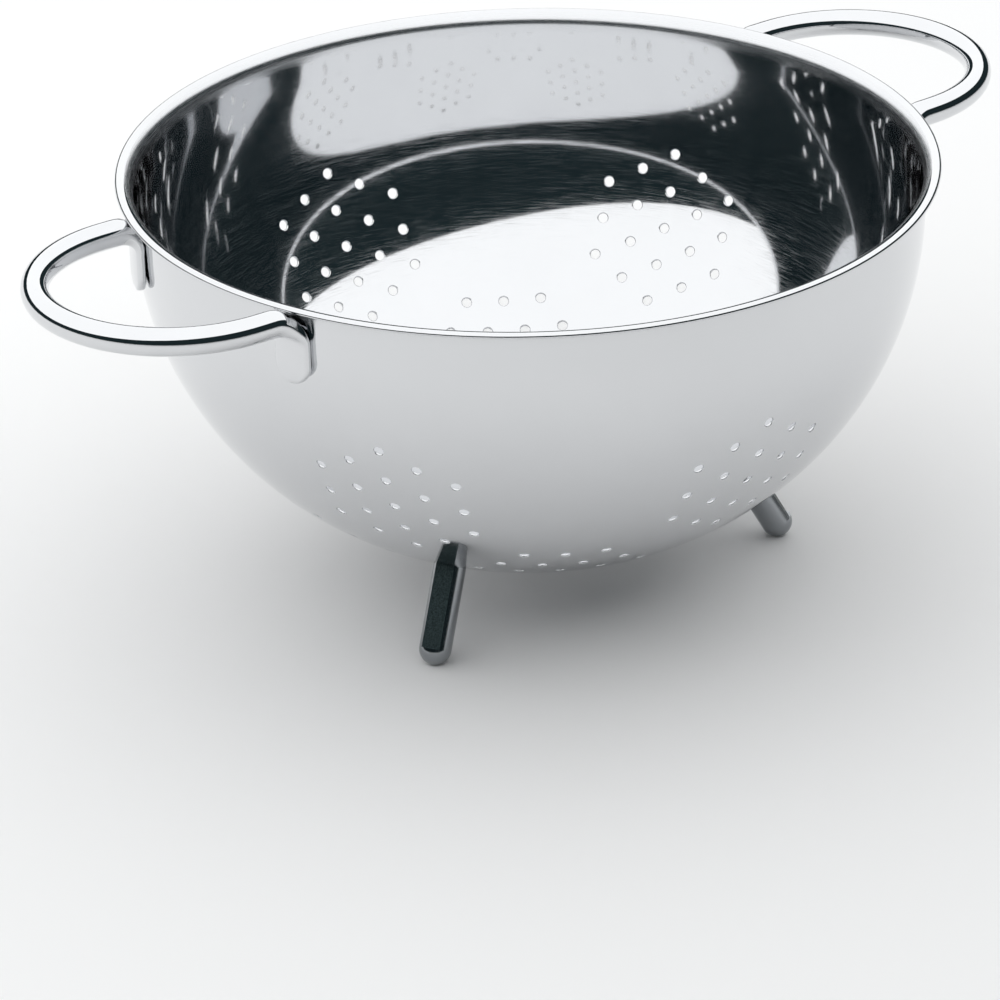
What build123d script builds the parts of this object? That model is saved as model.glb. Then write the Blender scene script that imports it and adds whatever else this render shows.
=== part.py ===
from build123d import *
from math import asin, cos, degrees, radians, sin, sqrt
import os

# A footed colander: one drawn bowl, two bent-rod handles and three pin feet.
# Millimetres. +Z is up and the origin is on the axis, on the plane the feet stand on.
# The handles lie along X, one at each side.

os.makedirs("parts", exist_ok=True)

# Bowl
rim_radius = 120.0
lip_width = 4.4
bowl_depth = 117.2
upright_drop = 12.5
wall = 0.8
floor_gap = 12.0

# Share of the arcs' depth that the side arc's radius takes, and the arcs' greatest depth as a share
# of the wall's radius
side_curve_share = 0.9933
deepest_arc_share = 0.95

# Drain holes, in hexagonal clusters. Each is six-sided here, as open as a round one
hole_diameter = 3.0
hole_pitch = 11.75
hole_rings = 2
hole_sides = 6
hole_corner_share = 1.1
clusters_per_row = 6
upper_row_tilt = 60.0
lower_row_tilt = 34.2
pattern_turn = -0.6

# Feet
foot_diameter = 9.5
foot_tilt = 29.0
foot_count = 3
first_foot_turn = 90.0
foot_tip_flat = 0.3
foot_face_depth = 0.95

# Handles
rod_diameter = 8.0
handle_straight = 5.0
handle_spread = 79.0
handle_drop = 4.3
handle_rise = 0.8
bend_radius = 7.0
tab_width = 10.8
tab_thickness = 2.6
tab_drop = 22.3
tab_edge = 0.8
tab_sink = 0.8

# Shares of the handle's bend at which its section is given, from round rod to flat tab
bend_shares = (0.0, 0.35, 0.7, 1.0)
flattening_shares = (0.0, 0.25, 0.75, 1.0)
round_corner_share = 0.49

# Every cut runs this far past the metal it goes through
overrun = 1.0

# Heights, measured from the plane the feet stand on
rim_height = floor_gap + bowl_depth
half_wall = wall / 2
foot_radius = foot_diameter / 2
rod_radius = rod_diameter / 2

# The bowl's outer line: a shallow floor arc, a side arc that ends upright, the wall and the lip's bend.
# The floor arc is the one that joins the side arc smoothly and is level on the axis.
# In a deeper bowl the arcs keep to its radius and the upright wall is longer.
wall_radius = rim_radius - lip_width
arc_depth = min(bowl_depth - upright_drop, deepest_arc_share * wall_radius)
side_curve = side_curve_share * arc_depth
side_centre_radius = wall_radius - side_curve
floor_curve = (arc_depth**2 + side_centre_radius**2 - side_curve**2) / (2 * (arc_depth - side_curve))
floor_centre_height = floor_gap + floor_curve
floor_arc_angle = degrees(asin(side_centre_radius / (floor_curve - side_curve)))
side_centre_height = floor_gap + arc_depth
lip_bend = lip_width - half_wall
lip_centre_height = rim_height - wall - lip_bend


def outer_point(tilt):
    """Radius and height of the bowl's outer face where its normal leans by tilt from straight down."""
    if tilt < floor_arc_angle:
        return floor_curve * sin(radians(tilt)), floor_centre_height - floor_curve * cos(radians(tilt))
    return (
        side_centre_radius + side_curve * sin(radians(tilt)),
        side_centre_height - side_curve * cos(radians(tilt)),
    )


def outer_plane(turn, tilt):
    """A plane that touches the bowl's outer face: X runs round the bowl, Z points out of the metal."""
    radius, height = outer_point(tilt)
    around = Vector(-sin(radians(turn)), cos(radians(turn)), 0)
    outward = Vector(sin(radians(tilt)) * cos(radians(turn)), sin(radians(tilt)) * sin(radians(turn)), 0)
    normal = outward - Vector(0, 0, cos(radians(tilt)))
    return Plane(
        origin=(radius * cos(radians(turn)), radius * sin(radians(turn)), height),
        x_dir=around,
        z_dir=normal,
    )


def bowl_line(inset):
    """The bowl's face line, from the axis to the lip's edge, moved into the metal by inset."""
    CenterArc((0, floor_centre_height), floor_curve - inset, -90, floor_arc_angle)
    CenterArc(
        (side_centre_radius, side_centre_height),
        side_curve - inset,
        floor_arc_angle - 90,
        90 - floor_arc_angle,
    )
    Line((wall_radius - inset, side_centre_height), (wall_radius - inset, lip_centre_height))
    CenterArc((wall_radius + lip_bend, lip_centre_height), lip_bend + inset, 180, -90)


def hexagon_spots(pitch, rings, point_up):
    """Places of a hexagonal cluster. With point_up, a corner of the cluster points along Y."""
    spots = []
    for column in range(-rings, rings + 1):
        for row in range(-rings, rings + 1):
            if abs(column + row) <= rings:
                along = pitch * (column + row / 2)
                across = pitch * row * sqrt(3) / 2
                spots.append((across, along) if point_up else (along, across))
    return spots


# The solid block inside the bowl's outer face, which trims what is welded onto it
with BuildPart() as bowl_block:
    with BuildSketch(Plane.XZ) as block_profile:
        with BuildLine():
            bowl_line(0)
            Line((wall_radius + lip_bend, lip_centre_height + lip_bend), (rim_radius, rim_height - wall))
            Line((rim_radius, rim_height - wall), (rim_radius, rim_height))
            Line((rim_radius, rim_height), (0, rim_height))
            Line((0, rim_height), (0, floor_gap))
        make_face()
    revolve(axis=Axis.Z)

# Bowl: the drawn shell with its rounded lip, then the clusters of holes
half_step = 180 / clusters_per_row
hole_corner_radius = hole_corner_share * hole_diameter / 2
cluster_radius = hole_pitch * hole_rings + hole_corner_radius
cluster_sag = side_curve - sqrt(side_curve**2 - cluster_radius**2)
punch_depth = cluster_sag + 2 * wall + overrun

with BuildPart() as bowl:
    with BuildSketch(Plane.XZ) as shell_profile:
        with BuildLine():
            bowl_line(0)
            bowl_line(wall)
            Line((0, floor_gap), (0, floor_gap + wall))
            CenterArc((wall_radius + lip_bend, rim_height - half_wall), half_wall, -90, 180)
        make_face()
    revolve(axis=Axis.Z)
    rows = [(upper_row_tilt, half_step, True), (lower_row_tilt, 0, False)]
    for tilt, row_turn, point_up in rows:
        for copy in range(clusters_per_row):
            turn = pattern_turn + row_turn + 2 * copy * half_step
            with BuildSketch(outer_plane(turn, tilt).offset(overrun)):
                with Locations(*hexagon_spots(hole_pitch, hole_rings, point_up)):
                    RegularPolygon(hole_corner_radius, hole_sides)
    with BuildSketch(outer_plane(0, 0).offset(overrun)):
        with Locations(*hexagon_spots(hole_pitch, hole_rings, False)):
            RegularPolygon(hole_corner_radius, hole_sides)
    extrude(amount=-punch_depth - overrun, mode=Mode.SUBTRACT)
bowl.part.label = "bowl"
export_step(bowl.part, "parts/bowl.step")

# Feet: round-ended pins that stand square to the bowl, seated on its outer face
foot_seat_height = outer_point(foot_tilt)[1]
foot_length = (foot_seat_height - foot_radius + foot_tip_flat) / cos(radians(foot_tilt))

for number in range(foot_count):
    foot_turn = first_foot_turn + number * 360 / foot_count
    seat_plane = outer_plane(foot_turn, foot_tilt)
    with BuildPart() as foot:
        with BuildSketch(seat_plane.offset(-wall)):
            Circle(foot_radius)
        extrude(amount=foot_length + wall)
        with Locations(seat_plane.offset(foot_length)):
            Sphere(foot_radius)
        # The outward side is milled flat from the bowl down to the rounded end
        with BuildSketch(seat_plane.offset(foot_length)):
            with Locations((0, foot_diameter - foot_face_depth)):
                Rectangle(foot_diameter + 2 * overrun, foot_diameter)
        extrude(amount=-foot_length - wall - overrun, mode=Mode.SUBTRACT)
        add(bowl_block.part, mode=Mode.SUBTRACT)
        split(bisect_by=Plane.XY, keep=Keep.TOP)
    foot.part.label = f"foot_{number + 1}"
    export_step(foot.part, f"parts/foot_{number + 1}.step")

# Handles: a round rod bent to a bow, whose ends turn down and are forged flat against the wall
half_spread = handle_spread / 2
tab_metal = tab_thickness + tab_sink
tab_centre_radius = wall_radius + tab_thickness - tab_metal / 2
tab_turn = degrees(asin(half_spread / tab_centre_radius))
tab_x = tab_centre_radius * cos(radians(tab_turn))
bend_centre_x = tab_x + bend_radius
bend_centre_height = rim_height - handle_drop - bend_radius * cos(radians(handle_rise))
bow_start_x = bend_centre_x - bend_radius * sin(radians(handle_rise))
bow_plane = Plane(
    origin=(bow_start_x, 0, rim_height - handle_drop),
    x_dir=(cos(radians(handle_rise)), 0, sin(radians(handle_rise))),
    z_dir=(-sin(radians(handle_rise)), 0, cos(radians(handle_rise))),
)
tab_height = rim_height - tab_drop
tab_plane = Plane(
    origin=(tab_x, half_spread, tab_height),
    x_dir=(-sin(radians(tab_turn)), cos(radians(tab_turn)), 0),
    z_dir=(cos(radians(tab_turn)), sin(radians(tab_turn)), 0),
)


def bend_plane(share):
    """Section plane across the rod's end bend, from the bow at 0 to the upright tab at 1."""
    angle = radians(handle_rise + share * (90 - handle_rise))
    twist = radians(share * tab_turn)
    return Plane(
        origin=(
            bend_centre_x - bend_radius * sin(angle),
            half_spread,
            bend_centre_height + bend_radius * cos(angle),
        ),
        x_dir=(-sin(twist), cos(twist), 0),
        z_dir=(-cos(angle), 0, -sin(angle)),
    )


def tab_section(flattening):
    """The rod's section as it is forged from round, at 0, to the tab's flat bar, at 1."""
    wide = rod_diameter + flattening * (tab_width - rod_diameter)
    thick = rod_diameter + flattening * (tab_metal - rod_diameter)
    corner = (1 - flattening) * round_corner_share * rod_diameter + flattening * tab_edge
    RectangleRounded(wide, thick, corner)


with BuildPart() as handle_right:
    with BuildLine(bow_plane) as bow_line:
        Line((0, half_spread), (handle_straight, half_spread))
        CenterArc((handle_straight, 0), half_spread, 90, -90)
    with BuildSketch(bend_plane(0)):
        Circle(rod_radius)
    sweep(path=bow_line.line)
    for share, flattening in zip(bend_shares, flattening_shares):
        with BuildSketch(bend_plane(share)):
            tab_section(flattening)
    loft()
    with BuildSketch(bend_plane(1)):
        tab_section(1)
    extrude(amount=bend_centre_height - tab_height)
    # The tab's lower end is a half circle across its width
    with BuildSketch(tab_plane.offset(-overrun - tab_metal)):
        with Locations((0, tab_width / 4 - overrun / 2)):
            Rectangle(tab_width + 2 * overrun, tab_width / 2 + overrun)
        with Locations((0, tab_width / 2)):
            Circle(tab_width / 2, mode=Mode.SUBTRACT)
    extrude(amount=2 * (overrun + tab_metal), mode=Mode.SUBTRACT)
    add(bowl_block.part, mode=Mode.SUBTRACT)
    mirror(about=Plane.XZ)
handle_right.part.label = "handle_right"
export_step(handle_right.part, "parts/handle_right.step")

with BuildPart() as handle_left:
    mirror(handle_right.part, about=Plane.YZ)
handle_left.part.label = "handle_left"
export_step(handle_left.part, "parts/handle_left.step")
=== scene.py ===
"""A polished steel colander: drilled bowl, two bent-rod handles and three pin feet."""

import math

import bmesh
import bpy
import numpy as np
from mathutils import Matrix, Vector


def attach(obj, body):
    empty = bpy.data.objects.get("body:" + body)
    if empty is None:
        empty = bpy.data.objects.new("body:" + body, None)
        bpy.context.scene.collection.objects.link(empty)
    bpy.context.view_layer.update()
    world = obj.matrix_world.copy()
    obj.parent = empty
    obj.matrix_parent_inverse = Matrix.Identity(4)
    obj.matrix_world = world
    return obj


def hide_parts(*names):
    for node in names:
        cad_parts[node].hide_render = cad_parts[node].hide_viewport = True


bl_info = {
    "name": "Footed colander",
    "version": (1, 0, 0),
    "blender": (4, 5, 0),
    "location": "3D View > Sidebar > Colander",
    "description": "Builds a footed steel colander and its studio stage",
    "category": "Object",
}

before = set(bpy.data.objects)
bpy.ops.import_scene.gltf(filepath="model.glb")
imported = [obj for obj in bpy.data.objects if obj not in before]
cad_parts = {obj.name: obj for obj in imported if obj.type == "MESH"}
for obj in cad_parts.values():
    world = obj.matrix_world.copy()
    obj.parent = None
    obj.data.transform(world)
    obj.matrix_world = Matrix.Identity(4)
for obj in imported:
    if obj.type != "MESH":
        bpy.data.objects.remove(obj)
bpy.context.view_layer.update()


# Sizes and colours

def length_setting(name, description, default):
    return bpy.props.FloatProperty(name=name, description=description, default=default, unit="LENGTH")


def angle_setting(name, description, degrees):
    return bpy.props.FloatProperty(
        name=name, description=description, default=math.radians(degrees), subtype="ANGLE")


def plain_setting(name, description, default):
    return bpy.props.FloatProperty(name=name, description=description, default=default)


def count_setting(name, description, default, least):
    return bpy.props.IntProperty(name=name, description=description, default=default, min=least)


def colour_setting(name, description, default):
    return bpy.props.FloatVectorProperty(
        name=name, description=description, default=default, size=3, subtype="COLOR", min=0.0, max=1.0)


class BowlSettings(bpy.types.PropertyGroup):
    rim_radius: length_setting("Rim radius", "Outer radius of the lip", 0.120)
    wall_radius: length_setting("Wall radius", "Outer radius of the upright wall", 0.1156)
    depth: length_setting("Depth", "Height of the bowl from its bottom to the lip", 0.1172)
    wall: length_setting("Wall", "Thickness of the steel sheet", 0.0008)
    side_curve: length_setting("Side curve", "Radius of the side's arc", 0.104)
    floor_curve: length_setting("Floor curve", "Radius of the bottom's arc", 0.2003)
    lip_bend: length_setting("Lip bend", "Radius under the lip, from the wall outwards", 0.0033)
    lip_curl: length_setting("Lip curl", "Radius over the lip's turned-down edge", 0.0011)
    curl_turn: angle_setting("Curl turn", "Angle by which the lip's edge is turned down", 75.0)
    floor_gap: length_setting("Floor gap", "Height of the bottom above the floor", 0.012)
    segments: count_setting("Segments", "Facets round the bowl", 192, 24)
    hole_diameter: length_setting("Hole diameter", "Diameter of a drain hole", 0.003)
    hole_edge: length_setting("Hole edge", "Radius of a hole's rounded edge", 0.0003)
    hole_pitch: length_setting("Hole pitch", "Distance from hole to hole in a cluster", 0.01175)
    hole_rings: count_setting("Hole rings", "Rings of holes round a cluster's middle hole", 2, 1)
    clusters: count_setting("Clusters", "Clusters in each row round the bowl", 6, 1)
    upper_tilt: angle_setting("Upper row tilt", "Lean of the upper row from straight down", 60.0)
    lower_tilt: angle_setting("Lower row tilt", "Lean of the lower row from straight down", 34.2)
    pattern_turn: angle_setting("Pattern turn", "Turn of the hole pattern from the handles", -0.6)
    upper_slips: bpy.props.FloatVectorProperty(
        name="Upper row slips", description="Turn of each upper cluster from its even place",
        size=6, subtype="NONE", default=[math.radians(slip) for slip in (-0.5, -1.2, 0.0, 1.7, 0.5, 0.0)])
    steel: colour_setting("Steel", "Colour of the bowl's steel", (0.69, 0.698, 0.712))


class HandleSettings(bpy.types.PropertyGroup):
    rod_diameter: length_setting("Rod diameter", "Diameter of the handle's rod", 0.008)
    reach: length_setting("Reach", "Distance from the bowl's axis to the handle's outer edge", 0.165)
    spread: length_setting("Spread", "Distance between the rod's two ends", 0.079)
    drop: length_setting("Drop", "Depth of the rod's middle below the rim", 0.0043)
    rise: angle_setting("Rise", "Upward lean of the handle", 0.8)
    bend_radius: length_setting("Bend radius", "Radius of the bend above each tab", 0.007)
    tab_width: length_setting("Tab width", "Width of the flattened end", 0.0114)
    tab_thickness: length_setting("Tab thickness", "Thickness of the flattened end", 0.0026)
    tab_drop: length_setting("Tab drop", "Depth of the tab's end below the rim", 0.0238)
    tab_edge: length_setting("Tab edge", "Radius of the tab's rounded edge", 0.0013)
    steel: colour_setting("Steel", "Colour of the rod's steel", (0.69, 0.698, 0.712))


class FootSettings(bpy.types.PropertyGroup):
    diameter: length_setting("Diameter", "Diameter of a foot's pin", 0.0095)
    tilt: angle_setting("Tilt", "Lean of a foot from upright", 29.0)
    face_depth: length_setting("Face depth", "Depth of the flat milled on the outward side", 0.00095)
    tip_flat: length_setting("Tip flat", "Depth ground off the rounded end", 0.0003)
    count: count_setting("Count", "Number of feet", 3, 3)
    first_turn: angle_setting("First turn", "Direction of the first foot", 90.0)
    # The pins' steel is set much darker than the bowl's: painted shade, for the shadowed floor that the
    # pins mirror under the bowl
    steel: colour_setting("Steel", "Colour of the pins' steel", (0.31, 0.325, 0.34))


class StageSettings(bpy.types.PropertyGroup):
    camera_turn: angle_setting("Camera turn", "Direction of the camera round the colander", -36.27)
    camera_height: angle_setting("Camera height", "Angle of the camera above the rim", 23.164)
    camera_distance: length_setting("Camera distance", "Distance from the rim's middle", 1.3805)
    camera_roll: angle_setting("Camera roll", "Roll of the camera", -1.423)
    aim_right: length_setting("Aim right", "Sideways offset of the point aimed at", -0.01045)
    aim_up: length_setting("Aim up", "Height of the point aimed at from the rim", -0.11151)
    lens: plain_setting("Lens", "Focal length in millimetres", 170.57)
    light_height: length_setting("Light height", "Height of the soft light over the rim", 1.0)
    light_left: length_setting("Light left", "Shift of the soft light to the camera's left", 0.945)
    light_back: length_setting("Light back", "Shift of the soft light away from the camera", 1.26)
    light_size: length_setting("Light size", "Diameter of the round soft light", 5.74)
    light_level: plain_setting("Light level", "Brightness of the soft light's face", 1.34)
    room_level: plain_setting("Room level", "Brightness of the room beyond the stage", 0.025)
    floor_size: length_setting("Floor size", "Width of the floor", 40.0)
    floor_colour: colour_setting("Floor colour", "Colour of the floor", (0.87, 0.87, 0.87))
    floor_white: plain_setting("Floor white", "Plain white added to the floor as it is seen", 0.03)


# The bowl's outline

def arc(radius, height, curve, start, end, steps):
    """Points along an arc whose normal leans from start to end, measured from straight down."""
    leans = [start + (end - start) * i / steps for i in range(steps + 1)]
    return [(radius + curve * math.sin(lean), height - curve * math.cos(lean)) for lean in leans]


class BowlOutline:
    """Heights and radii that follow from the bowl's settings, in metres."""

    def __init__(self, bowl):
        self.bowl = bowl
        self.rim_height = bowl.floor_gap + bowl.depth
        self.floor_centre = bowl.floor_gap + bowl.floor_curve
        step = bowl.floor_curve - bowl.side_curve
        self.side_radius = bowl.wall_radius - bowl.side_curve
        self.floor_angle = math.asin(self.side_radius / step)
        self.side_height = self.floor_centre - step * math.cos(self.floor_angle)
        self.lip_height = self.rim_height - bowl.wall - bowl.lip_bend

    def face(self, inset, floor_steps=6, side_steps=60, wall_steps=3, lip_steps=12, curl_steps=10):
        """Points from the axis to the lip's edge on the face that lies inset into the metal."""
        bowl = self.bowl
        upright = math.pi / 2
        rise = self.lip_height - self.side_height
        points = arc(0.0, self.floor_centre, bowl.floor_curve - inset,
                     0.0, self.floor_angle, floor_steps)[:-1]
        points += arc(self.side_radius, self.side_height, bowl.side_curve - inset,
                      self.floor_angle, upright, side_steps)[:-1]
        points += [(bowl.wall_radius - inset, self.side_height + rise * i / wall_steps)
                   for i in range(wall_steps)]
        points += arc(bowl.wall_radius + bowl.lip_bend, self.lip_height, bowl.lip_bend + inset,
                      3 * upright, math.pi, lip_steps)
        points += arc(bowl.rim_radius - bowl.lip_curl, self.rim_height - bowl.lip_curl,
                      bowl.lip_curl - bowl.wall + inset, math.pi, math.pi - bowl.curl_turn, curl_steps)
        return points

    def shell(self, edge_steps=8):
        """The whole closed outline of the sheet, from the bottom's underside to its top."""
        half = self.bowl.wall / 2
        turn = math.pi / 2 - self.bowl.curl_turn
        middle = self.bowl.lip_curl - half
        curl_radius = self.bowl.rim_radius - self.bowl.lip_curl
        curl_height = self.rim_height - self.bowl.lip_curl
        edge = []
        for i in range(1, edge_steps):
            angle = math.pi * i / edge_steps
            out = middle - half * math.cos(angle)
            on = half * math.sin(angle)
            edge.append((curl_radius + out * math.cos(turn) + on * math.sin(turn),
                         curl_height + out * math.sin(turn) - on * math.cos(turn)))
        return self.face(0.0) + edge + self.face(self.bowl.wall)[::-1]

    def outer_radius(self, height):
        """Outer radius of the wall or of the lip's underside at a height."""
        if height >= self.lip_height:
            bend = self.bowl.lip_bend
            rise = min(height - self.lip_height, bend)
            return self.bowl.wall_radius + bend - math.sqrt(bend**2 - rise**2)
        if height >= self.side_height:
            return self.bowl.wall_radius
        drop = self.side_height - height
        if drop >= self.bowl.side_curve:
            return 0.0
        return self.side_radius + math.sqrt(self.bowl.side_curve**2 - drop**2)

    def seat(self, tilt):
        """Radius and height of the outer face where its normal leans by tilt from straight down."""
        return (self.side_radius + self.bowl.side_curve * math.sin(tilt),
                self.side_height - self.bowl.side_curve * math.cos(tilt))

    def skin_normals(self, points):
        """Outward normals of the bowl's arcs at points below the upright wall."""
        around = np.hypot(points[:, 0], points[:, 1])
        unit = points[:, :2] / np.maximum(around, 1e-9)[:, None]
        on_floor = around < self.bowl.floor_curve * math.sin(self.floor_angle)
        out = np.where(on_floor, around, around - self.side_radius)
        up = points[:, 2] - np.where(on_floor, self.floor_centre, self.side_height)
        length = np.hypot(out, up)
        normals = np.empty_like(points)
        normals[:, :2] = unit * (out / length)[:, None]
        normals[:, 2] = up / length
        return normals


# Node helpers

class NodeSheet:
    """Adds and joins nodes in one tree."""

    def __init__(self, tree):
        self.tree = tree

    def add(self, kind, inputs=(), **settings):
        node = self.tree.nodes.new(kind)
        for name, value in settings.items():
            setattr(node, name, value)
        for name, value in dict(inputs).items():
            self.feed(node.inputs[name], value)
        return node

    def feed(self, socket, value):
        if isinstance(value, bpy.types.NodeSocket):
            self.tree.links.new(value, socket)
        else:
            socket.default_value = value

    def maths(self, operation, *values):
        node = self.tree.nodes.new("ShaderNodeMath")
        node.operation = operation
        for socket, value in zip(node.inputs, values):
            self.feed(socket, value)
        return node.outputs[0]

    def plus(self, first, second):
        return self.maths("ADD", first, second)

    def minus(self, first, second):
        return self.maths("SUBTRACT", first, second)

    def times(self, first, second):
        return self.maths("MULTIPLY", first, second)

    def over(self, first, second):
        return self.maths("DIVIDE", first, second)

    def vector(self, x, y, z):
        node = self.tree.nodes.new("ShaderNodeCombineXYZ")
        for socket, value in zip(node.inputs, (x, y, z)):
            self.feed(socket, value)
        return node.outputs[0]

    def split(self, value):
        node = self.tree.nodes.new("ShaderNodeSeparateXYZ")
        self.feed(node.inputs[0], value)
        return node.outputs[0], node.outputs[1], node.outputs[2]

    def squares(self, first, second):
        """The sum of two squares."""
        return self.plus(self.times(first, first), self.times(second, second))

    def distance(self, first, second):
        """The distance that two sides at a right angle make."""
        return self.maths("SQRT", self.squares(first, second))

    def ramp(self, value, low, high, at_low=0.0, at_high=1.0):
        """Runs from at_low to at_high as the value runs from low to high, and no further."""
        node = self.add("ShaderNodeMapRange", {
            "Value": value, "From Min": low, "From Max": high, "To Min": at_low, "To Max": at_high})
        return node.outputs["Result"]

    def noise(self, vector, scale, detail, roughness=0.5):
        node = self.add("ShaderNodeTexNoise", {
            "Vector": vector, "Scale": scale, "Detail": detail, "Roughness": roughness})
        return node.outputs["Fac"]

    def attribute(self, name):
        return self.add("ShaderNodeAttribute", attribute_name=name).outputs["Fac"]

    def bump(self, height, strength, distance):
        node = self.add("ShaderNodeBump", {"Height": height, "Strength": strength, "Distance": distance})
        return node.outputs["Normal"]


def new_tree(name, kind, inputs, outputs):
    """An empty node group. Returns it, its sheet, and the sockets that it is given and that it gives."""
    tree = bpy.data.node_groups.new(name, kind)
    for label, socket, default in inputs:
        item = tree.interface.new_socket(label, in_out="INPUT", socket_type="NodeSocket" + socket)
        if default is not None:
            item.default_value = default
    for label, socket in outputs:
        tree.interface.new_socket(label, in_out="OUTPUT", socket_type="NodeSocket" + socket)
    sheet = NodeSheet(tree)
    entry = sheet.add("NodeGroupInput")
    leave = sheet.add("NodeGroupOutput")
    return tree, sheet, entry.outputs, leave.inputs


def hole_cluster_tree():
    """A flat hexagonal cluster of points: rings of holes round a middle hole."""
    tree, sheet, given, result = new_tree(
        "hole_cluster", "GeometryNodeTree",
        [("Pitch", "Float", 0.01175), ("Rings", "Int", 2)], [("Geometry", "Geometry")])
    width = sheet.times(given["Rings"], 2.0)
    count = sheet.plus(width, 1.0)
    grid = sheet.add("GeometryNodeMeshGrid", {
        "Size X": width, "Size Y": width, "Vertices X": count, "Vertices Y": count})
    x, y, _ = sheet.split(sheet.add("GeometryNodeInputPosition").outputs[0])
    spill = sheet.maths("ABSOLUTE", sheet.plus(x, y))
    limit = sheet.plus(given["Rings"], 0.5)
    outside = sheet.maths("GREATER_THAN", spill, limit)
    trimmed = sheet.add("GeometryNodeDeleteGeometry", {
        "Geometry": grid.outputs["Mesh"], "Selection": outside}, domain="POINT")
    along = sheet.times(sheet.plus(x, sheet.times(y, 0.5)), given["Pitch"])
    across = sheet.times(sheet.times(y, math.sqrt(3) / 2), given["Pitch"])
    placed = sheet.add("GeometryNodeSetPosition", {
        "Geometry": trimmed.outputs[0], "Position": sheet.vector(along, across, 0.0)})
    sheet.feed(result["Geometry"], placed.outputs[0])
    return tree


def cluster_row_tree():
    """Copies of a cluster in a row round the bowl, each point set down on the bowl's arc."""
    tree, sheet, given, result = new_tree(
        "cluster_row", "GeometryNodeTree",
        [("Cluster", "Geometry", None), ("Tilt", "Float", 0.0), ("Cluster turn", "Float", 0.0),
         ("First turn", "Float", 0.0), ("Count", "Int", 6), ("Centre radius", "Float", 0.0),
         ("Centre height", "Float", 0.0), ("Curve", "Float", 0.1), ("First slips", "Vector", None),
         ("Last slips", "Vector", None)],
        [("Geometry", "Geometry")])
    turned = sheet.add("GeometryNodeTransform", {
        "Geometry": given["Cluster"], "Rotation": sheet.vector(0.0, 0.0, given["Cluster turn"])})
    x, y, _ = sheet.split(sheet.add("GeometryNodeInputPosition").outputs[0])
    sine = sheet.maths("SINE", given["Tilt"])
    cosine = sheet.maths("COSINE", given["Tilt"])
    reach = sheet.maths("MULTIPLY_ADD", given["Curve"], sine, given["Centre radius"])
    level = sheet.minus(given["Centre height"], sheet.times(given["Curve"], cosine))
    curve_square = sheet.times(given["Curve"], given["Curve"])
    square = sheet.minus(curve_square, sheet.squares(x, y))
    sag = sheet.minus(given["Curve"], sheet.maths("SQRT", square))
    inward = sheet.minus(reach, sheet.times(sag, sine))
    raised = sheet.maths("MULTIPLY_ADD", sag, cosine, level)
    leaned = sheet.add("GeometryNodeSetPosition", {
        "Geometry": turned.outputs[0],
        "Position": sheet.vector(sheet.maths("MULTIPLY_ADD", y, cosine, inward), x,
                                 sheet.maths("MULTIPLY_ADD", y, sine, raised))})
    stations = sheet.add("GeometryNodePoints", {"Count": given["Count"]})
    step = sheet.over(2 * math.pi, given["Count"])
    index = sheet.add("GeometryNodeInputIndex").outputs[0]
    slip = sheet.add("GeometryNodeIndexSwitch", {"Index": index}, data_type="FLOAT")
    slips = sheet.split(given["First slips"]) + sheet.split(given["Last slips"])
    while len(slip.index_switch_items) < len(slips):
        slip.index_switch_items.new()
    for number, value in enumerate(slips):
        sheet.feed(slip.inputs[number + 1], value)
    even = sheet.maths("MULTIPLY_ADD", index, step, given["First turn"])
    turn = sheet.plus(even, slip.outputs[0])
    copies = sheet.add("GeometryNodeInstanceOnPoints", {
        "Points": stations.outputs[0], "Instance": leaned.outputs[0],
        "Rotation": sheet.vector(0.0, 0.0, turn)})
    loose = sheet.add("GeometryNodeRealizeInstances", {"Geometry": copies.outputs[0]})
    px, py, pz = sheet.split(sheet.add("GeometryNodeInputPosition").outputs[0])
    around = sheet.distance(px, py)
    ux = sheet.over(px, around)
    uy = sheet.over(py, around)
    out = sheet.minus(around, given["Centre radius"])
    up = sheet.minus(pz, given["Centre height"])
    length = sheet.distance(out, up)
    normal_out = sheet.over(out, length)
    normal_up = sheet.over(up, length)
    normal = sheet.vector(sheet.times(ux, normal_out), sheet.times(uy, normal_out), normal_up)
    kept = sheet.add("GeometryNodeStoreNamedAttribute", {
        "Geometry": loose.outputs[0], "Name": "outward", "Value": normal},
        data_type="FLOAT_VECTOR", domain="POINT")
    seated = sheet.maths("MULTIPLY_ADD", given["Curve"], normal_out, given["Centre radius"])
    height = sheet.maths("MULTIPLY_ADD", given["Curve"], normal_up, given["Centre height"])
    down = sheet.add("GeometryNodeSetPosition", {
        "Geometry": kept.outputs[0],
        "Position": sheet.vector(sheet.times(ux, seated), sheet.times(uy, seated), height)})
    sheet.feed(result["Geometry"], down.outputs[0])
    return tree


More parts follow.
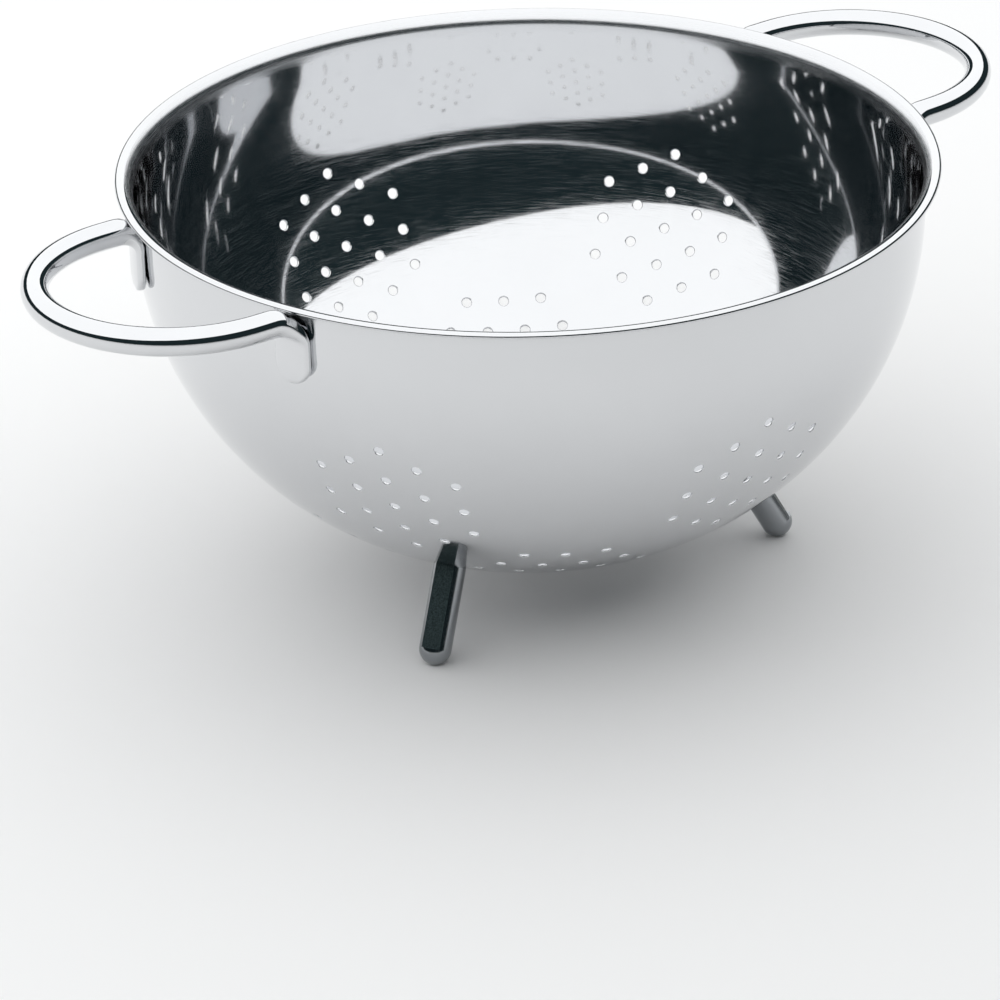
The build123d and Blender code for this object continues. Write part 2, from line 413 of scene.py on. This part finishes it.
def drain_holes_tree():
    """Punches rows of hole clusters through the bowl's shell."""
    names = ["Hole pitch", "Upper tilt", "Lower tilt", "Pattern turn", "Side curve",
             "Side centre radius", "Side centre height", "Floor curve", "Floor centre height"]
    tree, sheet, given, result = new_tree(
        "drain_holes", "GeometryNodeTree",
        [("Geometry", "Geometry", None), ("Punch", "Object", None), ("Material", "Material", None),
         ("Hole rings", "Int", 2), ("Clusters", "Int", 6), ("First slips", "Vector", None),
         ("Last slips", "Vector", None)] + [(name, "Float", 0.0) for name in names],
        [("Geometry", "Geometry")])
    cluster = sheet.add("GeometryNodeGroup", {
        "Pitch": given["Hole pitch"], "Rings": given["Hole rings"]}, node_tree=hole_cluster_tree())
    row_tree = cluster_row_tree()
    half_step = sheet.over(math.pi, given["Clusters"])
    upper_start = sheet.plus(given["Pattern turn"], half_step)
    side = (given["Side centre radius"], given["Side centre height"], given["Side curve"])
    floor = (0.0, given["Floor centre height"], given["Floor curve"])
    slips = (given["First slips"], given["Last slips"])
    even = ((0.0, 0.0, 0.0), (0.0, 0.0, 0.0))
    rows = [(given["Upper tilt"], math.pi / 2, upper_start, given["Clusters"], side, slips),
            (given["Lower tilt"], 0.0, given["Pattern turn"], given["Clusters"], side, even),
            (0.0, 0.0, 0.0, 1, floor, even)]
    spots = sheet.add("GeometryNodeJoinGeometry")
    for tilt, cluster_turn, start, count, (radius, height, curve), (first, last) in rows:
        row = sheet.add("GeometryNodeGroup", {
            "Cluster": cluster.outputs[0], "Tilt": tilt, "Cluster turn": cluster_turn, "First turn": start,
            "Count": count, "Centre radius": radius, "Centre height": height, "Curve": curve,
            "First slips": first, "Last slips": last}, node_tree=row_tree)
        sheet.feed(spots.inputs[0], row.outputs[0])
    outward = sheet.add("GeometryNodeInputNamedAttribute", {"Name": "outward"}, data_type="FLOAT_VECTOR")
    facing = sheet.add("FunctionNodeAlignRotationToVector", {"Vector": outward.outputs[0]}, axis="Z")
    punch = sheet.add("GeometryNodeObjectInfo", {"Object": given["Punch"]})
    punches = sheet.add("GeometryNodeInstanceOnPoints", {
        "Points": spots.outputs[0], "Instance": punch.outputs["Geometry"], "Rotation": facing.outputs[0]})
    loose = sheet.add("GeometryNodeRealizeInstances", {"Geometry": punches.outputs[0]})
    drilled = sheet.add("GeometryNodeMeshBoolean", {
        "Mesh 1": given["Geometry"], "Mesh 2": loose.outputs[0]}, operation="DIFFERENCE", solver="MANIFOLD")
    real = sheet.add("GeometryNodeRealizeInstances", {"Geometry": drilled.outputs["Mesh"]})
    coated = sheet.add("GeometryNodeSetMaterial", {
        "Geometry": real.outputs[0], "Material": given["Material"]})
    sheet.feed(result["Geometry"], coated.outputs[0])
    return tree


# Materials

def steel_haze_group():
    """Uneven polish: cloudy patches that change roughness and colour a little."""
    name = "steel_haze"
    if name in bpy.data.node_groups:
        return bpy.data.node_groups[name]
    tree, sheet, given, result = new_tree(
        name, "ShaderNodeTree",
        [("Vector", "Vector", None), ("Colour", "Color", (0.6, 0.6, 0.6, 1.0)), ("Roughness", "Float", 0.1),
         ("Haze", "Float", 0.03), ("Patch scale", "Float", 25.0), ("Tint", "Float", 0.06)],
        [("Colour", "Color"), ("Roughness", "Float")])
    patches = sheet.noise(given["Vector"], given["Patch scale"], detail=4.0, roughness=0.6)
    level = sheet.minus(patches, 0.5)
    shade = sheet.maths("MULTIPLY_ADD", level, given["Tint"], 1.0)
    tint = sheet.add("ShaderNodeMix", {
        "Factor": 1.0, "A": given["Colour"], "B": sheet.vector(shade, shade, shade)},
        data_type="RGBA", blend_type="MULTIPLY")
    sheet.feed(result["Colour"], tint.outputs["Result"])
    sheet.feed(result["Roughness"], sheet.maths("MULTIPLY_ADD", level, given["Haze"], given["Roughness"]))
    return tree


def turned_grain_group():
    """Fine polishing lines that run round the bowl's axis, and finer scratches along them."""
    name = "turned_grain"
    if name in bpy.data.node_groups:
        return bpy.data.node_groups[name]
    tree, sheet, given, result = new_tree(
        name, "ShaderNodeTree",
        [("Vector", "Vector", None), ("Centre height", "Float", 0.117), ("Lines", "Float", 520.0),
         ("Streak", "Float", 4.0), ("Scratch scale", "Float", 3.1), ("Scratch start", "Float", 0.52),
         ("Scratch gain", "Float", 6.0)],
        [("Height", "Float"), ("Scratch", "Float")])
    x, y, z = sheet.split(given["Vector"])
    around = sheet.distance(x, y)
    # Keeps the direction round the axis from dividing by nothing on the axis itself
    safe = sheet.maths("MAXIMUM", around, 0.001)
    latitude = sheet.maths("ARCTAN2", around, sheet.minus(given["Centre height"], z))
    place = sheet.vector(sheet.times(sheet.over(x, safe), given["Streak"]),
                         sheet.times(sheet.over(y, safe), given["Streak"]),
                         sheet.times(latitude, given["Lines"]))
    sheet.feed(result["Height"], sheet.noise(place, scale=1.0, detail=2.0, roughness=0.6))
    fine = sheet.noise(place, given["Scratch scale"], detail=1.0)
    scratch = sheet.times(sheet.minus(fine, given["Scratch start"]), given["Scratch gain"])
    sheet.feed(result["Scratch"], sheet.maths("MINIMUM", sheet.maths("MAXIMUM", scratch, 0.0), 1.0))
    return tree


def steel_material(name, colour, roughness, haze, patch_scale):
    """Uneven polished steel. Returns the material, its node sheet, its shader and its coordinates."""
    material = bpy.data.materials.new(name)
    material.use_nodes = True
    sheet = NodeSheet(material.node_tree)
    shader = material.node_tree.nodes["Principled BSDF"]
    shader.inputs["Metallic"].default_value = 1.0
    place = sheet.add("ShaderNodeTexCoord").outputs["Object"]
    polish = sheet.add("ShaderNodeGroup", {
        "Vector": place, "Colour": (*colour, 1.0), "Roughness": roughness, "Haze": haze,
        "Patch scale": patch_scale}, node_tree=steel_haze_group())
    sheet.feed(shader.inputs["Base Color"], polish.outputs["Colour"])
    sheet.feed(shader.inputs["Roughness"], polish.outputs["Roughness"])
    return material, sheet, shader, place


def source(socket):
    """The socket that feeds this one."""
    return socket.links[0].from_socket


def bowl_steel(settings, outline):
    """Mirror polish with turned scratches at the bottom, a satin bend under the lip and dull bores."""
    scratched_height = outline.side_height - 0.036
    polished_height = outline.side_height - 0.012
    satin_start = outline.lip_height - 0.003
    satin_full = outline.lip_height + 0.001
    satin_end = settings.rim_radius - 0.003
    satin_fade = 0.0002
    satin_roughness = 0.22
    bore_roughness = 0.12
    material, sheet, shader, place = steel_material(
        "bowl_polished_steel", settings.steel, roughness=0.035, haze=0.03, patch_scale=25.0)
    grain = sheet.add("ShaderNodeGroup", {"Vector": place, "Centre height": outline.side_height},
                      node_tree=turned_grain_group())
    bump = sheet.bump(grain.outputs["Height"], strength=0.05, distance=0.00002)
    sheet.feed(shader.inputs["Normal"], bump)
    x, y, z = sheet.split(place)
    # The bottom is scratched most, and the upper side and the wall are polished finest
    worn = sheet.ramp(z, scratched_height, polished_height, at_low=0.16, at_high=0.05)
    roughness = source(shader.inputs["Roughness"])
    roughness = sheet.maths("MULTIPLY_ADD", grain.outputs["Scratch"], worn, roughness)
    # The bend under the lip is left satin, from the upright wall to the polished top of the lip
    inside = sheet.ramp(sheet.distance(x, y), satin_end, satin_end + satin_fade, at_low=1.0, at_high=0.0)
    raised = sheet.ramp(z, satin_start, satin_full)
    satin = sheet.times(inside, raised)
    roughness = sheet.maths("MULTIPLY_ADD", satin, satin_roughness, roughness)
    roughness = sheet.maths("MULTIPLY_ADD", sheet.attribute("bore"), bore_roughness, roughness)
    sheet.feed(shader.inputs["Roughness"], roughness)
    return material


def rod_steel(name, colour, roughness, haze):
    """Polished bar with fine handling marks. Returns what steel_material does."""
    material, sheet, shader, place = steel_material(name, colour, roughness, haze, patch_scale=60.0)
    marks = sheet.noise(place, scale=900.0, detail=2.0)
    sheet.feed(shader.inputs["Normal"], sheet.bump(marks, strength=0.1, distance=0.00002))
    return material, sheet, shader, place


def foot_steel_painted_shade(colour):
    """Duller steel for the pins, whose darker colour is painted shade, with the milled flat painted near
    black as a painted reflection of the dim room, and finely grained.
    """
    milled_roughness = 0.3
    # The painted reflection on the milled flat takes the dim room's cool tint
    painted_room_tint = (0.7, 1.0, 1.05)
    material, sheet, shader, place = rod_steel("foot_steel_painted_dark", colour, roughness=0.14, haze=0.06)
    milled = sheet.attribute("milled")
    specks = sheet.noise(place, scale=2600.0, detail=1.0)
    # Painted reflection: the milled flat is coloured near black, flecked at random, for the dim room that
    # it mirrors
    painted_flat_level = sheet.ramp(specks, low=0.3, high=0.7, at_low=0.03, at_high=0.075)
    steel_or_painted_flat = sheet.add("ShaderNodeMix", {
        "Factor": milled, "A": source(shader.inputs["Base Color"]),
        "B": sheet.vector(*[sheet.times(painted_flat_level, share) for share in painted_room_tint])},
        data_type="RGBA")
    sheet.feed(shader.inputs["Base Color"], steel_or_painted_flat.outputs["Result"])
    roughness = sheet.maths("MULTIPLY_ADD", milled, milled_roughness, source(shader.inputs["Roughness"]))
    sheet.feed(shader.inputs["Roughness"], roughness)
    return material


# Mesh helpers

def outward_way(turn):
    """The level direction that points away from the axis at a turn."""
    return Vector((math.cos(turn), math.sin(turn), 0.0))


def round_way(turn):
    """The level direction that points round the axis at a turn."""
    return Vector((-math.sin(turn), math.cos(turn), 0.0))


def add_piece(name, mesh, material=None):
    piece = bpy.data.objects.new(name, mesh)
    bpy.context.scene.collection.objects.link(piece)
    if material is not None:
        mesh.materials.clear()
        mesh.materials.append(material)
    return piece


def smooth(mesh, sharp_angle):
    mesh.polygons.foreach_set("use_smooth", [True] * len(mesh.polygons))
    mesh.set_sharp_from_angle(angle=sharp_angle)


def turned_mesh(name, outline, segments):
    """Turns an outline of radii and heights round Z. It starts and ends on the axis."""
    vertices = [(0.0, 0.0, outline[0][1])]
    for radius, height in outline[1:-1]:
        for i in range(segments):
            angle = 2 * math.pi * i / segments
            vertices.append((radius * math.cos(angle), radius * math.sin(angle), height))
    vertices.append((0.0, 0.0, outline[-1][1]))
    faces = []
    last = len(vertices) - 1
    rows = len(outline) - 2
    for i in range(segments):
        j = (i + 1) % segments
        faces.append((0, 1 + j, 1 + i))
        for row in range(rows - 1):
            here = 1 + row * segments
            above = here + segments
            faces.append((here + i, here + j, above + j, above + i))
        end = 1 + (rows - 1) * segments
        faces.append((last, end + i, end + j))
    mesh = bpy.data.meshes.new(name)
    mesh.from_pydata(vertices, [], faces)
    face_outwards(mesh)
    return mesh


def face_outwards(mesh):
    work = bmesh.new()
    work.from_mesh(mesh)
    bmesh.ops.remove_doubles(work, verts=work.verts, dist=1e-7)
    bmesh.ops.recalc_face_normals(work, faces=work.faces)
    work.to_mesh(mesh)
    work.free()


def ringed_mesh(name, rings):
    """A closed tube through rings of equally many points, capped at both ends."""
    count = len(rings[0])
    vertices = [point for ring in rings for point in ring]
    faces = [tuple(range(count))[::-1]]
    for row in range(len(rings) - 1):
        here = row * count
        above = here + count
        for i in range(count):
            j = (i + 1) % count
            faces.append((here + i, here + j, above + j, above + i))
    faces.append(tuple(range((len(rings) - 1) * count, len(rings) * count)))
    mesh = bpy.data.meshes.new(name)
    mesh.from_pydata(vertices, [], faces)
    face_outwards(mesh)
    return mesh


# Bowl

def punch_outline(bowl, steps=3):
    """Outline of the punch: narrow in the sheet, flared where it meets both faces."""
    edge = bowl.hole_edge
    flare = bowl.hole_diameter / 2 + edge
    clear = 3 * bowl.wall
    angles = [math.pi / 2 * i / steps for i in range(steps + 1)]
    outline = [(0.0, -bowl.wall - clear), (flare, -bowl.wall - clear)]
    outline += [(flare - edge * math.sin(angle), -bowl.wall + edge - edge * math.cos(angle))
                for angle in angles]
    outline += [(flare - edge * math.sin(angle), -edge + edge * math.cos(angle))
                for angle in reversed(angles)]
    outline += [(flare, clear), (0.0, clear)]
    return outline


def read_values(items, name, width=1, kind=np.float64):
    """One row of a mesh's values for each item."""
    values = np.empty(len(items) * width, dtype=kind)
    items.foreach_get(name, values)
    return values.reshape(-1, width) if width > 1 else values


def true_skin(mesh, outline, skin_lean=0.99):
    """Gives the drilled faces the bowl's own normals, and the holes' edges a smooth round."""
    points = read_values(mesh.vertices, "co", 3)
    smooth_normals = read_values(mesh.vertices, "normal", 3)
    corner = read_values(mesh.loops, "vertex_index", kind=np.int32)
    count = read_values(mesh.polygons, "loop_total", kind=np.int32)
    facing = read_values(mesh.polygons, "normal", 3)
    middle = read_values(mesh.polygons, "center", 3)
    area = read_values(mesh.polygons, "area")
    owner = np.repeat(np.arange(len(mesh.polygons)), count)
    lean = (facing * outline.skin_normals(middle)).sum(axis=1)
    low = middle[:, 2] < outline.side_height
    skin = low & (np.abs(lean) > skin_lean)
    bore = low & ~skin
    bore_normals = np.zeros_like(points)
    chosen = bore[owner]
    np.add.at(bore_normals, corner[chosen], facing[owner[chosen]] * area[owner[chosen]][:, None])
    bore_normals /= np.maximum(np.linalg.norm(bore_normals, axis=1), 1e-12)[:, None]
    normals = smooth_normals[corner]
    side = np.sign(lean)[owner]
    on_skin = skin[owner]
    exact = outline.skin_normals(points)[corner]
    normals[on_skin] = (exact * side[:, None])[on_skin]
    normals[chosen] = bore_normals[corner[chosen]]
    mesh.normals_split_custom_set(normals.tolist())
    dull = mesh.attributes.new("bore", "FLOAT", "FACE")
    dull.data.foreach_set("value", bore.astype(np.float32))


class COLANDER_OT_bowl(bpy.types.Operator):
    """Turns the bowl's shell and punches its clusters of drain holes"""
    bl_idname = "colander.bowl"
    bl_label = "Build bowl"

    def execute(self, context):
        bowl = context.scene.colander_bowl
        outline = BowlOutline(bowl)
        punch_facets = 16
        least_faces = 1000
        material = bowl_steel(bowl, outline)
        punch = add_piece("hole_punch", turned_mesh("hole_punch", punch_outline(bowl), punch_facets))
        shell = add_piece("bowl_shell", turned_mesh("bowl_shell", outline.shell(), bowl.segments))
        tree = drain_holes_tree()
        drill = shell.modifiers.new("drain_holes", "NODES")
        drill.node_group = tree
        values = {"Punch": punch, "Material": material, "Hole rings": bowl.hole_rings,
                  "Clusters": bowl.clusters, "Hole pitch": bowl.hole_pitch, "Upper tilt": bowl.upper_tilt,
                  "Lower tilt": bowl.lower_tilt, "Pattern turn": bowl.pattern_turn,
                  "Side curve": bowl.side_curve, "Side centre radius": outline.side_radius,
                  "First slips": tuple(bowl.upper_slips[:3]), "Last slips": tuple(bowl.upper_slips[3:]),
                  "Side centre height": outline.side_height, "Floor curve": bowl.floor_curve,
                  "Floor centre height": outline.floor_centre}
        for item in tree.interface.items_tree:
            if item.in_out == "INPUT" and item.name in values:
                drill[item.identifier] = values[item.name]
        context.view_layer.update()
        ready = shell.evaluated_get(context.evaluated_depsgraph_get())
        mesh = bpy.data.meshes.new_from_object(ready)
        mesh.name = "drilled_bowl"
        if len(mesh.polygons) < least_faces:
            raise RuntimeError("the bowl came out empty")
        shell.modifiers.remove(drill)
        bpy.data.objects.remove(shell)
        bpy.data.objects.remove(punch)
        smooth(mesh, sharp_angle=math.radians(180.0))
        true_skin(mesh, outline)
        piece = add_piece("drilled_bowl", mesh, material)
        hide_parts("bowl")
        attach(piece, "root")
        return {"FINISHED"}


# Handles

def rounded_section(width, thickness, corner, count=32):
    """Points of a rounded rectangle, which is a circle where the corners meet."""
    corner = min(corner, width / 2, thickness / 2)
    points = []
    for i in range(count):
        angle = 2 * math.pi * (i + 0.5) / count
        along = math.copysign(width / 2 - corner, math.cos(angle)) + corner * math.cos(angle)
        across = math.copysign(thickness / 2 - corner, math.sin(angle)) + corner * math.sin(angle)
        points.append((along, across))
    return points


def handle_rings(handle, outline):
    """Sections of half a handle, from the end of its tab to the middle of the bow."""
    end_steps, tab_steps, bend_steps, bow_steps = 10, 4, 20, 24
    end_angle = math.radians(86.0)
    end_thinning = 1.2
    half = handle.spread / 2
    rod = handle.rod_diameter / 2
    tab_radius = outline.bowl.wall_radius + handle.tab_thickness / 2
    tab_turn = math.asin(half / tab_radius)
    tab_x = tab_radius * math.cos(tab_turn)
    bend = handle.bend_radius
    bend_x = tab_x + bend
    rod_height = outline.rim_height - handle.drop
    bend_height = rod_height - bend * math.cos(handle.rise)
    start_x = bend_x - bend * math.sin(handle.rise)
    straight = (handle.reach - rod - start_x) / math.cos(handle.rise) - half
    along = Vector((math.cos(handle.rise), 0.0, math.sin(handle.rise)))
    upward = Vector((-math.sin(handle.rise), 0.0, math.cos(handle.rise)))
    sideways = Vector((0.0, 1.0, 0.0))
    start = Vector((start_x, 0.0, rod_height))
    tab_end = outline.rim_height - handle.tab_drop
    tab_round = handle.tab_width / 2
    sections = []

    def add(centre, wide_way, thick_way, width, thickness, corner):
        sections.append([centre + wide_way * a + thick_way * b
                         for a, b in rounded_section(width, thickness, corner)])

    # The tab's half-round end, thinned towards its rounded edge
    tab_wide = round_way(tab_turn)
    tab_thick = outward_way(tab_turn)
    edge = handle.tab_edge
    for i in range(end_steps + 1):
        angle = end_angle * (1 - i / end_steps)
        depth = tab_round * (1 - math.sin(angle))
        shrink = edge - math.sqrt(max(edge**2 - max(edge - depth, 0.0)**2, 0.0))
        add(Vector((tab_x, half, tab_end + depth)), tab_wide, tab_thick,
            handle.tab_width * math.cos(angle), handle.tab_thickness - end_thinning * shrink, edge)
    for i in range(1, tab_steps):
        height = tab_end + tab_round + (bend_height - tab_end - tab_round) * i / tab_steps
        add(Vector((tab_x, half, height)), tab_wide, tab_thick, handle.tab_width,
            handle.tab_thickness, handle.tab_edge)
    # The bend above the tab, where the flat bar grows into the round rod
    for i in range(bend_steps + 1):
        share = 1 - i / bend_steps
        angle = handle.rise + share * (math.pi / 2 - handle.rise)
        twist = share * tab_turn
        forged = share * share * (3 - 2 * share)
        wide_way = round_way(twist)
        ahead = Vector((math.cos(angle), 0.0, math.sin(angle)))
        thick_way = wide_way.cross(ahead).normalized()
        add(Vector((bend_x - bend * math.sin(angle), half, bend_height + bend * math.cos(angle))),
            wide_way, thick_way,
            handle.rod_diameter + forged * (handle.tab_width - handle.rod_diameter),
            handle.rod_diameter + forged * (handle.tab_thickness - handle.rod_diameter),
            rod + forged * (handle.tab_edge - rod))
    add(start + along * (straight / 2) + sideways * half, sideways, -upward,
        handle.rod_diameter, handle.rod_diameter, rod)
    for i in range(bow_steps + 1):
        angle = math.pi / 2 * (1 - i / bow_steps)
        centre = start + along * (straight + half * math.cos(angle)) + sideways * (half * math.sin(angle))
        outward = along * math.cos(angle) + sideways * math.sin(angle)
        add(centre, outward, -upward, handle.rod_diameter, handle.rod_diameter, rod)
    return sections


def mirrored_rings(sections):
    """The same sections from the other side, so that the whole tube runs on in one sense."""
    return [[Vector((point.x, -point.y, point.z)) for point in ring] for ring in sections[-2::-1]]


def seat_on_wall(point, outline, sink=0.00005):
    """Moves a point that would be deeper in the wall out to just under its outer face."""
    if point.z > outline.rim_height:
        return point
    around = math.hypot(point.x, point.y)
    least = outline.outer_radius(point.z) - sink
    if around < least:
        return Vector((point.x * least / around, point.y * least / around, point.z))
    return point


class COLANDER_OT_handles(bpy.types.Operator):
    """Bends the two rod handles and forges their tabs onto the wall"""
    bl_idname = "colander.handles"
    bl_label = "Build handles"

    def execute(self, context):
        outline = BowlOutline(context.scene.colander_bowl)
        handle = context.scene.colander_handle
        material = rod_steel("rod_polished_steel", handle.steel, roughness=0.035, haze=0.02)[0]
        sections = handle_rings(handle, outline)
        rings = sections + mirrored_rings(sections)
        rings = [[seat_on_wall(point, outline) for point in ring] for ring in rings]
        for side, name in ((1, "handle_right"), (-1, "handle_left")):
            turned = [[(side * point.x, side * point.y, point.z) for point in ring] for ring in rings]
            mesh = ringed_mesh(name + "_rod", turned)
            smooth(mesh, sharp_angle=math.radians(50.0))
            piece = add_piece(name + "_rod", mesh, material)
            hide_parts(name)
            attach(piece, "root")
        return {"FINISHED"}


# Feet

def foot_rings(foot, outline, turn):
    """Sections of one foot, from inside the bowl's wall to the ground flat."""
    flat_steps, face_steps, round_steps, tip_steps = 6, 6, 34, 12
    radius = foot.diameter / 2
    seat_radius, seat_height = outline.seat(foot.tilt)
    length = (seat_height - radius + foot.tip_flat) / math.cos(foot.tilt)
    outward = outward_way(turn)
    around = round_way(turn)
    axis = outward * math.sin(foot.tilt) - Vector((0.0, 0.0, math.cos(foot.tilt)))
    upward = axis.cross(around)
    seat = outward * seat_radius + Vector((0.0, 0.0, seat_height))
    chord = math.acos(1 - foot.face_depth / radius)
    angles = [-chord + 2 * chord * i / face_steps for i in range(face_steps)]
    angles += [chord + 2 * (math.pi - chord) * i / round_steps for i in range(round_steps)]

    def ring(distance, scale, flat):
        points = []
        for angle in angles:
            side = radius * scale * math.sin(angle)
            up = radius * scale * math.cos(angle)
            if flat:
                up = min(up, radius - foot.face_depth)
            point = seat + axis * distance + around * side + upward * up
            point.z = max(point.z, 0.0)
            points.append(point)
        return points

    start = -outline.bowl.wall / 2
    rings = [ring(start + (length - start) * i / flat_steps, 1.0, True) for i in range(flat_steps + 1)]
    # The flat ends in a step where the round end begins
    step = 1e-5
    rings.append(ring(length + step, 1.0, False))
    for i in range(1, tip_steps):
        angle = math.pi / 2 * i / tip_steps
        rings.append(ring(length + radius * math.sin(angle), math.cos(angle), False))
    return rings


def mark_milled(mesh, foot, turn, flat_lean=0.9999):
    """Marks the faces of the milled flat, so that the material can give them a rougher finish and a painted
    near-black reflection.
    """
    facing = outward_way(turn) * math.cos(foot.tilt) + Vector((0.0, 0.0, math.sin(foot.tilt)))
    flat = [1.0 if face.normal.dot(facing) > flat_lean else 0.0 for face in mesh.polygons]
    mesh.attributes.new("milled", "FLOAT", "FACE").data.foreach_set("value", flat)


class COLANDER_OT_feet(bpy.types.Operator):
    """Turns the pin feet and mills the flat on each one's outward side"""
    bl_idname = "colander.feet"
    bl_label = "Build feet"

    def execute(self, context):
        outline = BowlOutline(context.scene.colander_bowl)
        foot = context.scene.colander_foot
        material = foot_steel_painted_shade(foot.steel)
        for number in range(foot.count):
            turn = foot.first_turn + 2 * math.pi * number / foot.count
            name = "foot_" + str(number + 1)
            mesh = ringed_mesh(name + "_pin", foot_rings(foot, outline, turn))
            smooth(mesh, sharp_angle=math.radians(30.0))
            mark_milled(mesh, foot, turn)
            piece = add_piece(name + "_pin", mesh, material)
            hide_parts(name)
            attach(piece, "root")
        return {"FINISHED"}


# Stage

def floor_material(colour, white):
    """A pale floor that keeps soft shadows and is seen whiter than the light alone makes it."""
    material = bpy.data.materials.new("floor_white")
    material.use_nodes = True
    sheet = NodeSheet(material.node_tree)
    shader = material.node_tree.nodes["Principled BSDF"]
    shader.inputs["Base Color"].default_value = (*colour, 1.0)
    shader.inputs["Roughness"].default_value = 1.0
    shader.inputs["Specular IOR Level"].default_value = 0.0
    path = sheet.add("ShaderNodeLightPath")
    seen = sheet.maths("MAXIMUM", path.outputs["Is Camera Ray"], path.outputs["Is Glossy Ray"])
    seen = sheet.maths("MAXIMUM", seen, path.outputs["Is Transmission Ray"])
    plain = sheet.add("ShaderNodeEmission", {
        "Color": (1.0, 1.0, 1.0, 1.0), "Strength": sheet.times(seen, white)})
    both = sheet.add("ShaderNodeAddShader")
    sheet.feed(both.inputs[0], shader.outputs[0])
    sheet.feed(both.inputs[1], plain.outputs[0])
    sheet.feed(material.node_tree.nodes["Material Output"].inputs["Surface"], both.outputs[0])
    return material


class COLANDER_OT_stage(bpy.types.Operator):
    """Lays the pale floor and sets the soft light, the room and the camera"""
    bl_idname = "colander.stage"
    bl_label = "Build stage"

    def execute(self, context):
        scene = context.scene
        stage = scene.colander_stage
        outline = BowlOutline(scene.colander_bowl)
        half = stage.floor_size / 2
        mesh = bpy.data.meshes.new("floor")
        mesh.from_pydata([(-half, -half, 0), (half, -half, 0), (half, half, 0), (-half, half, 0)], [],
                         [(0, 1, 2, 3)])
        floor = add_piece("floor", mesh, floor_material(stage.floor_colour, stage.floor_white))

        room_tint = (0.6, 1.0, 1.12, 1.0)
        world = bpy.data.worlds.new("dim_room")
        scene.world = world
        world.use_nodes = True
        sky = world.node_tree.nodes["Background"]
        sky.inputs["Color"].default_value = room_tint
        sky.inputs["Strength"].default_value = stage.room_level

        turn = stage.camera_turn
        towards = -round_way(turn)
        right = outward_way(turn)
        rim = Vector((0.0, 0.0, outline.rim_height))
        light = bpy.data.lights.new("overhead_softbox", "AREA")
        light.shape = "DISK"
        light.size = stage.light_size
        # The power that gives a round face of this size its brightness
        face_area = math.pi / 4 * light.size**2
        light.energy = stage.light_level * math.pi * face_area
        lamp = bpy.data.objects.new("overhead_softbox", light)
        scene.collection.objects.link(lamp)
        middle = rim - right * stage.light_left - towards * stage.light_back
        middle.z += stage.light_height
        lamp.matrix_world = Matrix.Translation(middle) @ Matrix.Rotation(turn, 4, "Z")

        lens = bpy.data.cameras.new("camera")
        lens.lens = stage.lens
        lens.sensor_fit = "HORIZONTAL"
        lens.sensor_width = 36.0
        lens.clip_end = 100.0
        camera = bpy.data.objects.new("camera", lens)
        scene.collection.objects.link(camera)
        level = math.cos(stage.camera_height)
        outwards = towards * level + Vector((0, 0, math.sin(stage.camera_height)))
        place = rim + outwards * stage.camera_distance
        aim = rim + right * stage.aim_right + Vector((0, 0, stage.aim_up))
        ahead = (aim - place).normalized()
        side = ahead.cross(Vector((0, 0, 1))).normalized()
        up = side.cross(ahead)
        roll = stage.camera_roll
        x_axis = side * math.cos(roll) + up * math.sin(roll)
        y_axis = up * math.cos(roll) - side * math.sin(roll)
        turned = Matrix((x_axis, y_axis, -ahead)).transposed().to_4x4()
        camera.matrix_world = Matrix.Translation(place) @ turned
        scene.camera = camera
        scene.view_settings.view_transform = "Standard"
        return {"FINISHED"}


class COLANDER_PT_panel(bpy.types.Panel):
    """Lists the colander's pieces and its stage"""
    bl_idname = "COLANDER_PT_panel"
    bl_label = "Colander"
    bl_space_type = "VIEW_3D"
    bl_region_type = "UI"
    bl_category = "Colander"

    def draw(self, context):
        scene = context.scene
        groups = (("colander.bowl", scene.colander_bowl), ("colander.handles", scene.colander_handle),
                  ("colander.feet", scene.colander_foot), ("colander.stage", scene.colander_stage))
        for operator, settings in groups:
            box = self.layout.box()
            box.operator(operator)
            for name in settings.bl_rna.properties.keys():
                if name not in ("rna_type", "name"):
                    box.prop(settings, name)


SETTINGS = {"colander_bowl": BowlSettings, "colander_handle": HandleSettings,
            "colander_foot": FootSettings, "colander_stage": StageSettings}
CLASSES = (*SETTINGS.values(), COLANDER_OT_bowl, COLANDER_OT_handles, COLANDER_OT_feet,
           COLANDER_OT_stage, COLANDER_PT_panel)


def register():
    for item in CLASSES:
        bpy.utils.register_class(item)
    for name, group in SETTINGS.items():
        setattr(bpy.types.Scene, name, bpy.props.PointerProperty(type=group))


def unregister():
    for name in SETTINGS:
        delattr(bpy.types.Scene, name)
    for item in reversed(CLASSES):
        bpy.utils.unregister_class(item)


def main():
    register()
    bpy.ops.colander.bowl()
    bpy.ops.colander.handles()
    bpy.ops.colander.feet()
    bpy.ops.colander.stage()


if __name__ == "__main__":
    main()
